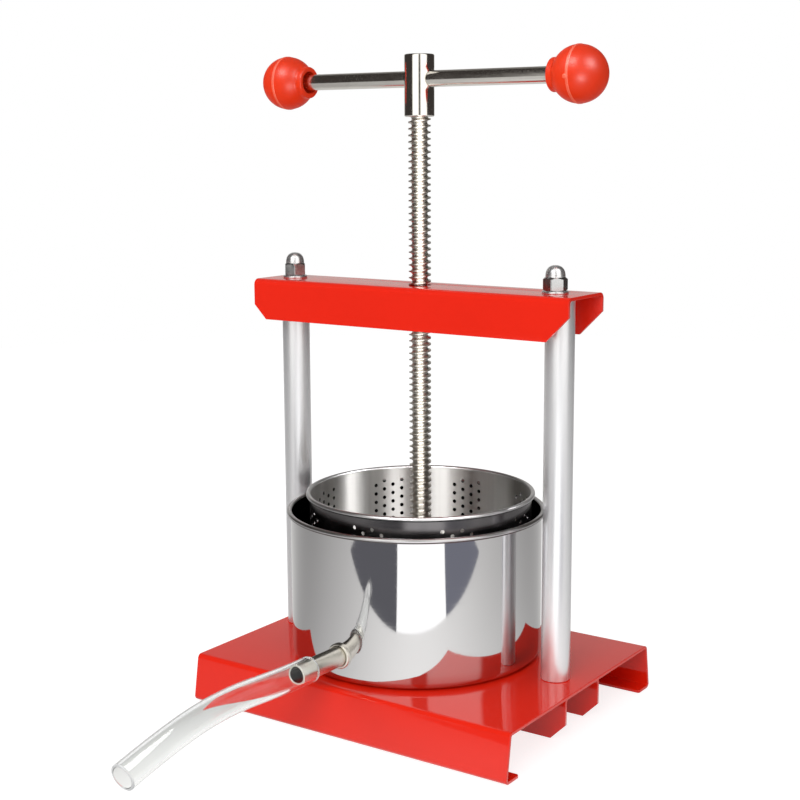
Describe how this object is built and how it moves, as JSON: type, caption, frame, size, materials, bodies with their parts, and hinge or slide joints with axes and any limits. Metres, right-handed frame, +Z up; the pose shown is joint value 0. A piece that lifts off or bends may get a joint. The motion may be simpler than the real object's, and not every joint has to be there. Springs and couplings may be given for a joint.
{
  "type": "fruit press",
  "caption": "Table-top fruit press: hand-turned screw with sliding bar, plate, perforated basket in a polished bucket with spout and clear hose, red folded base and beam on two columns.",
  "frame": {"origin": "middle of the base's footprint, on the table", "axes": "+X along the beam, -Y towards the spout, +Z up along the screw"},
  "size_m": [0.2474, 0.3549, 0.4124],
  "materials": {
    "red_paint": "gloss",
    "column_aluminium": "satin",
    "polished_steel": "polished",
    "basket_steel": "satin",
    "plate_steel": "turned",
    "screw_steel": "rolled thread",
    "nickel": "polished",
    "zinc": "bright plated",
    "knob_plastic": "gloss",
    "hose_plastic": "clear"
  },
  "bodies": {
    "frame": {"base_plate": "red_paint", "base_channel": "red_paint", "left_column": "column_aluminium", "left_tie_rod": "zinc", "left_top_washer": "zinc", "left_base_washer": "zinc", "left_dome_nut": "zinc", "left_base_nut": "zinc", "right_column": "column_aluminium", "right_tie_rod": "zinc", "right_top_washer": "zinc", "right_base_washer": "zinc", "right_dome_nut": "zinc", "right_base_nut": "zinc", "top_beam": "red_paint", "press_nut": "red_paint"},
    "feed_plate": {"press_plate": "plate_steel", "plate_boss": "plate_steel", "thrust_washer": "plate_steel", "left_retaining_pin": "plate_steel", "right_retaining_pin": "plate_steel"},
    "spindle": {"press_screw": "screw_steel", "screw_head": "nickel"},
    "handle": {"tommy_bar": "nickel", "left_knob": "knob_plastic", "right_knob": "knob_plastic"},
    "basket": {"basket": "basket_steel"},
    "bucket": {"bucket": "polished_steel", "spout": "polished_steel", "spout_ring": "polished_steel", "hose": "hose_plastic"}
  },
  "joints": [
    {"name": "plate_feed", "type": "slide", "parent": "frame", "child": "feed_plate", "axis": [0, 0, 1], "range_m": [-0.0502, 0.1202]},
    {"name": "screw_turn", "type": "hinge", "parent": "feed_plate", "child": "spindle", "pos_m": [-0.004, 0.0025, 0.1091], "axis": [0, 0, 1], "range_deg": [-4500, 10800]},
    {"name": "bar_slide", "type": "slide", "parent": "spindle", "child": "handle", "axis": [1, 0, 0], "range_m": [-0.081, 0.073]},
    {"name": "basket_turn", "type": "hinge", "parent": "frame", "child": "basket", "pos_m": [-0.004, 0.0025, 0.031], "axis": [0, 0, 1], "continuous": true},
    {"name": "bucket_turn", "type": "hinge", "parent": "frame", "child": "bucket", "pos_m": [-0.007, 0.002, 0.0301], "axis": [0, 0, 1], "range_deg": [-75, 75]}
  ],
  "couplings": [
    {"joint": "plate_feed", "follows": "screw_turn", "m_per_rad": 0.00063662}
  ]
}
